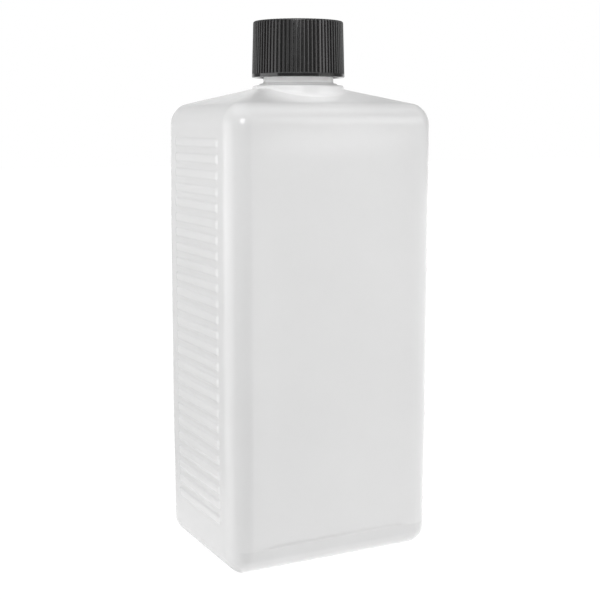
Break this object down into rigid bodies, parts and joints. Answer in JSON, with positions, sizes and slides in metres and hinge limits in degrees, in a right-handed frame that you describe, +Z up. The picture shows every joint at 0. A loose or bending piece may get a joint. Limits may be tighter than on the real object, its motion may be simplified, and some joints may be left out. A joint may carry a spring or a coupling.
{
  "type": "square media bottle",
  "caption": "Square-sided milky plastic bottle with a sloping shoulder, ribbed narrow sides and a threaded neck, closed by a ribbed black screw cap with a sealing disc.",
  "frame": {"origin": "centre of the base, in the plane the bottle stands on", "axes": "+Z up along the neck, X along the wide faces, Y along the narrow ribbed sides"},
  "size_m": [0.0728, 0.055, 0.1725],
  "materials": {
    "natural_body": "milky translucent polyethylene, satin",
    "black_cap": "moulded black, satin",
    "white_liner": "white closed-cell foam"
  },
  "bodies": {
    "bottle": {"bottle": "natural_body"},
    "liner": {"cap_liner": "white_liner"},
    "cap": {"screw_cap": "black_cap"}
  },
  "joints": [
    {"name": "cap_lift", "type": "slide", "parent": "bottle", "child": "liner", "axis": [0, 0, 1], "range_m": [0, 0.0211]},
    {"name": "cap_turn", "type": "hinge", "parent": "liner", "child": "cap", "pos_m": [0, 0, 0.1625], "axis": [0, 0, 1], "range_deg": [0, 2520]}
  ],
  "couplings": [
    {"joint": "cap_lift", "follows": "cap_turn", "m_per_rad": 0.00047746}
  ]
}
